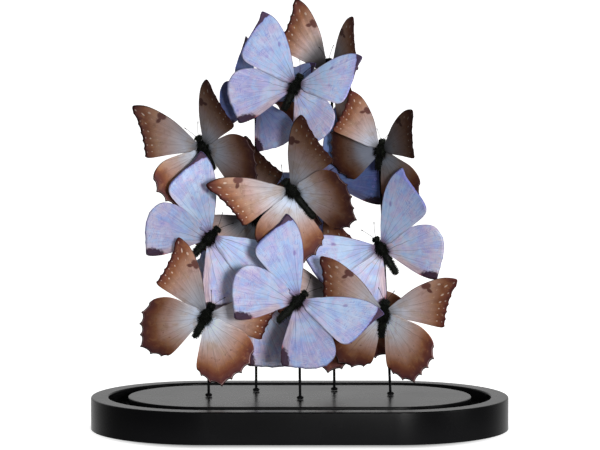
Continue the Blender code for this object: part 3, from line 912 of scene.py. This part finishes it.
def blue_wing_material():
    """Pearly pale blue with lilac bands, fine ripples, dark veins, apex and hind corner."""
    wing = WingPaint(
        "pearly_blue_scales", 0.30,
        [(0.10, 153, 163, 191), (0.30, 175, 196, 225), (0.50, 175, 199, 228),
         (0.66, 183, 193, 221), (0.78, 185, 189, 214), (0.88, 170, 184, 216),
         (0.98, 149, 156, 197)],
        [(0.10, 190, 175, 190), (0.35, 189, 200, 221), (0.60, 176, 174, 205),
         (0.78, 185, 179, 206), (0.92, 195, 190, 209), (0.99, 185, 181, 200)])
    graph, place, fore, hind = wing.graph, wing.place, wing.fore, wing.hind
    clouds = place.noise(8.0, 4.0, 0.62, 0.6)
    pools = place.noise(4.6, 3.0, 0.5, 0.9)
    brushed = wing.streaks(wing.reach * 0.5, wing.seed + 20.0, 2.0)
    for pattern, low, high, strength, shade in (
            (clouds, 0.50, 0.62, 0.55, (202, 178, 210)),
            (clouds, 0.50, 0.37, 0.62, (158, 192, 232)),
            (pools, 0.50, 0.62, 0.45, (150, 154, 214)),
            (pools, 0.46, 0.34, 0.40, (196, 214, 236)),
            (brushed, 0.52, 0.66, 0.34, (202, 188, 214)),
            (brushed, 0.48, 0.34, 0.34, (150, 184, 228))):
        wing.coat(pattern.step(low, high), strength, shade)
    ripples = graph.group("edge_ripples", {"Place": place, "Edge": wing.outer, "Apart": 1.5})
    wing.coat(ripples * wing.from_root.step(0.35, 0.75), 0.55, (128, 130, 196))
    streaks = wing.streaks(wing.reach, wing.seed, 9.0)
    wing.coat(streaks.step(0.50, 0.66), 0.36, (212, 222, 240))
    wing.coat(streaks.step(0.47, 0.33), 0.30, (124, 138, 202))

    fold = graph.mix(streaks.step(0.42, 0.62), linear(176, 152, 164), linear(212, 190, 190))
    wing.coat(wing.rear.step(6.5, 2.5) * hind, 0.85, fold)
    wing.coat(wing.rear.step(2.0, 0.5) * fore, 0.4, (200, 184, 196))

    # Painted light and shade: the colour is multiplied by the wing's tone and turns bluer where the
    # painted shade darkens it; the dark marks below are dimmed by the painted shade too
    dim = wing.tone.math("MINIMUM", 1.0)
    painted_shade_tint = graph.combine(wing.tone * dim ** 0.18, wing.tone, wing.tone * dim ** -0.32)
    wing.colour = graph.node("VectorMath", {0: wing.colour, 1: painted_shade_tint}, operation="MULTIPLY")
    marks_in_painted_shade = dim ** 0.7
    marked = 1.0 - wing.trait

    discal = wing.blotch((0.405, 0.33), 50, 0.030, 0.018, 0.25, 0.5)
    wing.coat(discal * fore, 0.60, (112, 86, 160))
    faint = wing.blotch((0.47, 0.13), 10, 0.024, 0.018, 0.35, 0.5)
    wing.coat(faint * fore, 0.35, (140, 120, 190))
    rings, centres = wing.spots(9.5, 0.9, 3.0, 8.0), wing.spots(9.5, 0.45, 3.0, 8.0)
    wing.coat(graph.math("SUBTRACT", rings, centres, clamp=True), 0.22, (140, 124, 196))

    tip = wing.outer - wing.span.step(0.82, 0.98) * 6.2 + wing.ragged(30.0, 3.0)
    wing.coat(tip.step(2.2, -0.2) * fore, 0.5, (120, 120, 210))
    wing.coat(tip.step(0.4, -0.5) * (fore * marked), 0.92,
              graph.scale(linear(68, 38, 50), marks_in_painted_shade))
    red = wing.blotch((0.255, -0.485), -38, 0.080, 0.026, 0.3, 0.5)
    wing.coat(red * (hind * marked), 0.8, graph.scale(linear(168, 82, 82), marks_in_painted_shade))
    corner = wing.blotch((0.385, -0.575), -38, 0.165, 0.080, 0.24, 0.16)
    corner_shade = graph.mix(clouds, linear(34, 22, 50), linear(64, 33, 46))
    wing.coat(corner * (hind * marked), 0.97, graph.scale(corner_shade, marks_in_painted_shade))

    fading = wing.span.math("MULTIPLY_ADD", -1.20, 1.0).math("MAXIMUM", 0.18)
    wing.coat(wing.veins(0.26), fading,
              graph.mix(wing.span.step(0.1, 0.5), linear(50, 42, 68), linear(92, 94, 150)))
    front = graph.mix(wing.span.step(0.3, 0.8), linear(92, 52, 52), linear(140, 130, 186))
    wing.coat(wing.front.step(0.55, 0.2) * fore, 0.85, front)
    wing.coat(wing.outer.step(0.45, 0.15), 0.55, (140, 134, 196))
    wing.coat(wing.span.step(0.12, 0.03), 0.7, (96, 62, 78))
    return wing.finish((206, 200, 196), (150, 128, 112), 0.6, 0.1)


def brown_wing_material():
    """Silvery root, pinkish beige middle, orange-brown and a dark maroon edge, with pale spots."""
    wing = WingPaint(
        "brown_scales", 0.10,
        [(0.10, 166, 172, 184), (0.28, 199, 202, 216), (0.45, 202, 188, 190),
         (0.62, 196, 164, 156), (0.75, 183, 141, 120), (0.86, 148, 95, 68),
         (0.94, 123, 72, 58), (0.99, 85, 44, 42)],
        [(0.10, 211, 226, 248), (0.34, 199, 196, 203), (0.52, 190, 163, 156),
         (0.66, 182, 142, 126), (0.78, 151, 99, 71), (0.87, 120, 67, 53),
         (0.94, 106, 65, 59), (0.99, 86, 51, 52)])
    graph, place, fore, hind = wing.graph, wing.place, wing.fore, wing.hind
    from_root = wing.from_root
    clouds = place.noise(5.0, 3.0)
    streaks = wing.streaks(wing.reach, wing.seed, 8.0)
    smoke = wing.front.step(9.0, 1.0) * wing.span.step(0.62, 0.3)
    patches = place.noise(13.0, 4.0, 0.65, 0.5)
    outside = from_root.step(0.45, 0.68)
    for mask, strength, shade in (
            (clouds.step(0.50, 0.68) * from_root.step(0.95, 0.6), 0.5, (178, 150, 124)),
            (streaks.step(0.48, 0.72) * from_root.step(0.75, 0.25), 0.58, (234, 230, 228)),
            (streaks.step(0.46, 0.28) * from_root.step(1.0, 0.4), 0.34, (104, 82, 74)),
            (smoke * fore, 0.35, (140, 126, 124)),
            (patches.step(0.52, 0.66) * outside, 0.28, (190, 138, 92)),
            (patches.step(0.48, 0.34) * outside, 0.28, (112, 66, 48))):
        wing.coat(mask, strength, shade)

    maroon = (92, 44, 42)
    bar = wing.blotch((0.430, 0.440), 28, 0.062, 0.040, 0.22, 0.22)
    hook = wing.blotch((0.470, 0.395), -42, 0.050, 0.024, 0.28, 0.3)
    wing.coat(bar.math("MAXIMUM", hook) * fore, 0.85, maroon)
    border = wing.outer + wing.ragged(18.0, 2.0)
    wing.coat(border.step(2.4, 0.6) * fore, 0.6, maroon)
    wing.coat(wing.span.step(0.80, 1.0) * fore, 0.6, maroon)
    wing.coat(border.step(4.6, 1.4) * hind, 0.5, (98, 52, 58))

    cream = (240, 224, 208)
    for row, radius, strength in ((5.0, 0.53, 0.70), (1.9, 0.40, 0.50), (9.4, 0.42, 0.22)):
        wing.coat(wing.spots(row, radius, 2.0, 8.0) * fore, strength, cream)
    pale = wing.blotch((0.585, 0.500), 30, 0.020, 0.012, 0.3, 0.4)
    wing.coat(pale * fore, 0.5, cream)
    wing.coat(wing.spots(14.0, 0.45, 3.0, 7.0) * hind, 0.5, (92, 56, 50))
    lunules = (wing.outer - 0.8).math("ABSOLUTE").step(0.32, 0.1)
    wing.coat(lunules * hind, 0.5, (206, 180, 176))

    wing.coat(wing.veins(0.26), 0.55 - wing.span * 0.4, (96, 72, 66))
    wing.coat(wing.front.step(0.6, 0.25) * fore, 0.8, (84, 56, 50))
    wing.coat(wing.span.step(0.12, 0.03), 0.5, (96, 92, 94))
    # Painted light and shade: the colour is multiplied by the wing's tone
    wing.colour = graph.scale(wing.colour, wing.tone)
    # Painted grey shadow over the root of some wings, and a painted bluish silvery sheen over the
    # root of others
    painted_root_shadow = wing.trait.math("MAXIMUM", 0.0)
    wing.coat(from_root.step(0.62, 0.30) * painted_root_shadow, 0.92, (72, 68, 68))
    painted_root_sheen = (wing.trait * -1.0).math("MAXIMUM", 0.0)
    wing.coat(from_root.step(0.62, 0.28) * painted_root_sheen, 0.85,
              graph.mix(streaks, linear(138, 148, 172), linear(190, 198, 216)))
    return wing.finish((150, 122, 98), (92, 62, 50), 0.62, 0.5)


def fur_material(settings):
    """Black hairs in darker and lighter patches, with a painted green-bronze sheen on lighter tips
    here and there.
    """
    material, graph, shader = new_material("black_fur")
    place = graph.object_place()
    patches = place.noise(320.0, 3.0)
    shade = graph.mix(patches.step(0.4, 0.7), linear(6, 6, 6), tuple(settings.fur))
    # Painted sheen: light green specks laid into the hairs' colour
    painted_fur_sheen = place.noise(900.0, 2.0).step(0.5, 0.75)
    shade = graph.mix(painted_fur_sheen * 0.6, shade, linear(52, 64, 44))
    dress(graph, shader, shade, patches * 0.25 + 0.5, patches,
          strength=0.4, depth=0.3 * MM, specular=0.15)
    return material


def lacquer_material(name, shade, roughness, dust, lift=0.0):
    """Black finish with faint dust and wipe marks; lift is painted light, which lightens it towards
    the underside as light bounced up from the floor would.
    """
    material, graph, shader = new_material(name)
    place = graph.object_place()
    rougher, height = graph.group("fine_dust", {"Place": place, "Amount": dust}).outputs()
    # Painted light: lighter towards the underside, by lift
    low = place.split()[2].step(PAINTED_BOUNCE_BELOW, 0.0)
    tone = (height * 0.3 + 0.85) * low.math("MULTIPLY_ADD", lift, 1.0)
    dress(graph, shader, graph.scale(tuple(shade), tone), rougher + roughness, height,
          strength=0.05, depth=0.4 * MM, specular=0.05)
    return material


def white_material(name, wire):
    """Rough white that glows; wire gives its colour and its glow from graph and place."""
    material, graph, shader = new_material(name)
    shade, glow = wire(graph, graph.object_place())
    graph.feed(shader.inputs["Base Color"], shade)
    shader.inputs["Roughness"].default_value = 0.9
    shader.inputs["Emission Color"].default_value = (1, 1, 1, 1)
    graph.feed(shader.inputs["Emission Strength"], glow)
    return material


# ---------------------------------------------------------------- base and rods

def oval_rings(profile, half_straight, steps):
    """A ring for each (radius r, height h) pair: x, y = centre + r out, z = h.

    The centre is at one end of the straight sides and then at the other, and out goes
    half round at each.
    """
    profile = np.asarray(profile, float)
    angle = np.radians([np.linspace(-90, 90, steps), np.linspace(90, 270, steps)])
    centre = np.repeat([half_straight, -half_straight], steps)
    x = profile[:, :1] * np.cos(angle.ravel()) + centre
    y = profile[:, :1] * np.sin(angle.ravel())
    return np.stack(np.broadcast_arrays(x, y, profile[:, 1:]), -1)


def swept_ring(profile, half_straight=HALF_STRAIGHT, steps=72):
    """Sweep a closed profile round the oval."""
    return skin(oval_rings(profile, half_straight, steps), loop=True)


def swept_disc(profile, steps=72):
    """Sweep a profile round the oval, and close its ends onto the centre line."""
    rings = oval_rings(profile, HALF_STRAIGHT, steps)
    inner = rings[[0, -1]] * np.array([1, 0, 1])
    inner[..., 0] = np.clip(inner[..., 0], -HALF_STRAIGHT, HALF_STRAIGHT)
    return skin(np.concatenate([inner[:1], rings, inner[1:]]))


def rounded_corner(radius, out, size, steps=6):
    """Quarter circle of (radius, height) pairs, from a side that faces out or in onto the top."""
    angle = np.radians(np.linspace(0, 90, steps))
    return list(zip(radius - out * size * (1 - np.cos(angle)),
                    BASE_HEIGHT - size * (1 - np.sin(angle))))


class BUTTERFLY_OT_base(bpy.types.Operator):
    """Build the rim, the groove's floor and the raised panel"""
    bl_idname = "butterfly.base"
    bl_label = "Base"

    def execute(self, context):
        look = context.scene.base_look
        # lift paints the base lighter towards its underside, as bounced light from the floor
        lacquer = lacquer_material("black_lacquer", look.lacquer, look.gloss,
                                   dust=0.08, lift=0.9)
        top, rim_round, panel_round = BASE_HEIGHT, look.rim_round, look.panel_round
        inner = END_RADIUS - RIM_WIDTH
        side = inner - GROOVE_WIDTH
        floor = top - GROOVE_DEPTH
        rim = [(END_RADIUS, 0.0), *rounded_corner(END_RADIUS, 1, rim_round),
               (END_RADIUS - 1.4 * rim_round, top), (inner + 1.4 * rim_round, top),
               *rounded_corner(inner, -1, rim_round)[::-1], (inner, 0.0)]
        board = [(inner - GAP, 0.0), (inner - GAP, floor)]
        panel = [(side, floor + GAP), *rounded_corner(side, 1, panel_round),
                 (side - 1.6 * panel_round, top)]
        for name, shell, smooth in (("base_rim", swept_ring(rim), True),
                                    ("base_board", swept_disc(board), False),
                                    ("base_panel", swept_disc(panel), True)):
            piece = make_mesh_object(name + "_finish", *shell, smooth=smooth)
            finish_piece(piece, lacquer, "base_lacquer", name)
            if smooth:
                piece.data.set_sharp_from_angle(angle=math.radians(SHARP_ANGLE))
        return {"FINISHED"}


class BUTTERFLY_OT_rods(bpy.types.Operator):
    """Build the five rods with their arms, and the collars round their feet"""
    bl_idname = "butterfly.rods"
    bl_label = "Rods"

    def execute(self, context):
        look = context.scene.rod_look
        rod_paint = lacquer_material("black_rod_paint", look.paint, roughness=0.38, dust=0.2)
        collar_paint = lacquer_material("black_collar_paint", look.paint,
                                        roughness=0.6, dust=0.15)
        for name, rod in RODS.items():
            foot = np.array([rod.x * MM, rod.y * MM, BASE_HEIGHT + GAP])
            rod_shell = merge_shells(self.rod_shells(name, rod, foot, look.sides))
            points, triangles = swept_ring(self.collar_profile(), 0.0, 20)
            for piece, shell, paint in (("rod", rod_shell, rod_paint),
                                        ("collar", (points + foot, triangles), collar_paint)):
                made = make_mesh_object(f"{piece}_finish_{name}", *shell)
                finish_piece(made, paint, piece, f"{piece}_{name}")
        return {"FINISHED"}

    def rod_shells(self, name, rod, foot, sides):
        """A straight rod up to just above the highest thorax, and an arm to each butterfly."""
        carried = [SPECIMENS[f"{name}_{level}"] for level in ("low", "middle", "top")]
        top = np.array([(rod.x + rod.lean) * MM, rod.y * MM,
                        carried[-1].z * MM + ROD_ABOVE_THORAX])
        line = foot + np.linspace(0, 1, 40)[:, None] * (top - foot)
        shells = [tube_shell(line, ROD_RADIUS, sides)]
        for pose in carried:
            thorax = np.array([pose.x, pose.y, pose.z]) * MM
            root = foot + (top - foot) * (thorax[2] - foot[2]) / (top[2] - foot[2])
            away = (root - thorax) / np.linalg.norm(root - thorax)
            tip = thorax + away * (THORAX_RADIUS * pose.size * MM + GAP)
            if np.linalg.norm(root - tip) > ROD_RADIUS + SHORTEST_ARM:
                widths = np.interp(np.arange(8), [0, 1, 7], [1.5, 1.0, 0.9]) * ARM_RADIUS
                shells.append(tube_shell(np.linspace(root, tip, 8), widths, 12))
        return shells

    def collar_profile(self):
        """A flattened bead turned about the rod, open for it in the middle."""
        bore = ROD_RADIUS + COLLAR_CLEARANCE
        bead = [(COLLAR_RADIUS * (0.35 + 0.65 * math.cos(a)),
                 COLLAR_HEIGHT * (0.42 + 0.58 * math.sin(a)))
                for a in np.radians(np.linspace(-40, 85, 12))]
        return [(bore, 0.0), (COLLAR_RADIUS * 0.9, 0.0), *bead, (bore, COLLAR_HEIGHT)]


def build_kind(kind, wing_material):
    """Build every butterfly of one kind with one wing material and the shared fur."""
    fur_finish = (bpy.data.materials.get("black_fur")
                  or fur_material(bpy.context.scene.body_look))
    for label, pose in SPECIMENS.items():
        if pose.kind == kind:
            build_butterfly(label, wing_material, fur_finish)


class BUTTERFLY_OT_blue(bpy.types.Operator):
    """Build the pale blue butterflies"""
    bl_idname = "butterfly.blue"
    bl_label = "Blue butterflies"

    def execute(self, context):
        build_kind("blue", blue_wing_material())
        return {"FINISHED"}


class BUTTERFLY_OT_brown(bpy.types.Operator):
    """Build the brown butterflies"""
    bl_idname = "butterfly.brown"
    bl_label = "Brown butterflies"

    def execute(self, context):
        build_kind("brown", brown_wing_material())
        return {"FINISHED"}


class BUTTERFLY_OT_stage(bpy.types.Operator):
    """Build the camera, the lights, the white surroundings and the floor"""
    bl_idname = "butterfly.stage"
    bl_label = "Stage"

    def execute(self, context):
        scene, look = context.scene, context.scene.stage_look
        scene.view_settings.view_transform = "Standard"
        self.camera(scene)
        self.surroundings(scene, look)
        for name, (power, place, width) in LIGHTS.items():
            self.light(scene, name, getattr(look, power), place, width)
        self.floor(look)
        self.wall(look)
        return {"FINISHED"}

    def camera(self, scene):
        """Long lens a little above the base, tipped slightly down."""
        data = bpy.data.cameras.new("camera")
        data.sensor_width = SENSOR
        data.lens = LENS
        camera = bpy.data.objects.new("camera", data)
        camera.location = CAMERA_PLACE
        camera.rotation_euler = (math.radians(CAMERA_TILT), 0, 0)
        scene.collection.objects.link(camera)
        scene.camera = camera

    def surroundings(self, scene, look):
        """White all round, brighter behind the object than in front."""
        world = bpy.data.worlds.new("white_studio")
        scene.world = world
        world.use_nodes = True
        graph = Graph(world.node_tree)
        away = graph.node("TexCoord", output="Generated").split()[1]
        back = world.node_tree.nodes["Background"]
        back.inputs["Color"].default_value = (1, 1, 1, 1)
        graph.feed(back.inputs["Strength"],
                   away.step(0.2, 0.9) * (look.back_sky - look.front_sky) + look.front_sky)

    def light(self, scene, name, power, place, width):
        data = bpy.data.lights.new(name, "AREA")
        data.energy = power
        data.size = width
        light = bpy.data.objects.new(name, data)
        light.location = place
        aim = Vector(LIGHT_AIM) - Vector(place)
        light.rotation_euler = aim.to_track_quat("-Z", "Y").to_euler()
        scene.collection.objects.link(light)

    def floor(self, look):
        """Flat white floor, darker and dimmer where the base meets it."""
        def wire(graph, place):
            x, y, _ = place.split()
            past_end = (x.math("ABSOLUTE") - HALF_STRAIGHT).math("MAXIMUM", 0.0)
            past_end = past_end * SHADOW_NARROWING
            clear = far_from(past_end, y).step(END_RADIUS, END_RADIUS + look.contact)
            shade = clear.math("MULTIPLY_ADD", 1 - SHADOW_TONE, SHADOW_TONE)
            tone = place.noise(3.0).ramp([(0.3, (0.8, 0.8, 0.8)), (0.7, (0.82, 0.82, 0.82))])
            return graph.scale(tone, shade), shade * look.floor_glow

        reach = np.linspace(-FLOOR_REACH, FLOOR_REACH, 15)
        x, y = np.meshgrid(reach, reach, indexing="ij")
        points = np.stack([x, y, np.zeros_like(x)], -1).reshape(-1, 3)
        index = np.arange(len(points)).reshape(x.shape)
        floor = make_mesh_object("floor", points, grid_triangles(index)[:, ::-1], smooth=False)
        floor.data.materials.append(white_material("white_floor", wire))
        floor.visible_diffuse = floor.visible_glossy = False

    def wall(self, look):
        """Round white wall where the floor ends: x = R cos a, y = R sin a, up to its height."""
        angle, height = np.meshgrid(np.linspace(0, 2 * np.pi, 97),
                                    np.linspace(0, look.wall_height, 8), indexing="ij")
        points = np.stack([WALL_RADIUS * np.cos(angle), WALL_RADIUS * np.sin(angle), height], -1)
        index = np.arange(angle.size).reshape(angle.shape)
        wall = make_mesh_object("wall", points.reshape(-1, 3), grid_triangles(index), smooth=False)
        wall.data.materials.append(white_material("white_wall", lambda graph, place: (
            (0.8, 0.8, 0.8), place.noise(0.4) * 0.05 + 1.0)))
        wall.visible_diffuse = wall.visible_glossy = wall.visible_shadow = False


class BUTTERFLY_PT_panel(bpy.types.Panel):
    bl_label = "Mounted butterflies"
    bl_idname = "BUTTERFLY_PT_panel"
    bl_space_type = "VIEW_3D"
    bl_region_type = "UI"
    bl_category = "Butterflies"

    def draw(self, context):
        for operator in OPERATORS:
            self.layout.operator(operator.bl_idname)
        for name, group in SETTINGS.items():
            box = self.layout.box()
            for field in group.__annotations__:
                box.prop(getattr(context.scene, name), field)


OPERATORS = (BUTTERFLY_OT_base, BUTTERFLY_OT_rods, BUTTERFLY_OT_blue, BUTTERFLY_OT_brown,
             BUTTERFLY_OT_stage)
SETTINGS = {
    "base_look": BaseSettings, "rod_look": RodSettings, "wing_look": WingSettings,
    "body_look": BodySettings, "stage_look": StageSettings,
}
CLASSES = (*SETTINGS.values(), *OPERATORS, BUTTERFLY_PT_panel)


def register():
    for cls in CLASSES:
        bpy.utils.register_class(cls)
    for name, group in SETTINGS.items():
        setattr(bpy.types.Scene, name, PointerProperty(type=group))


def unregister():
    for name in SETTINGS:
        delattr(bpy.types.Scene, name)
    for cls in reversed(CLASSES):
        bpy.utils.unregister_class(cls)


def main():
    register()
    build_groups()
    bpy.ops.butterfly.base()
    bpy.ops.butterfly.rods()
    bpy.ops.butterfly.blue()
    bpy.ops.butterfly.brown()
    bpy.ops.butterfly.stage()


if __name__ == "__main__":
    main()
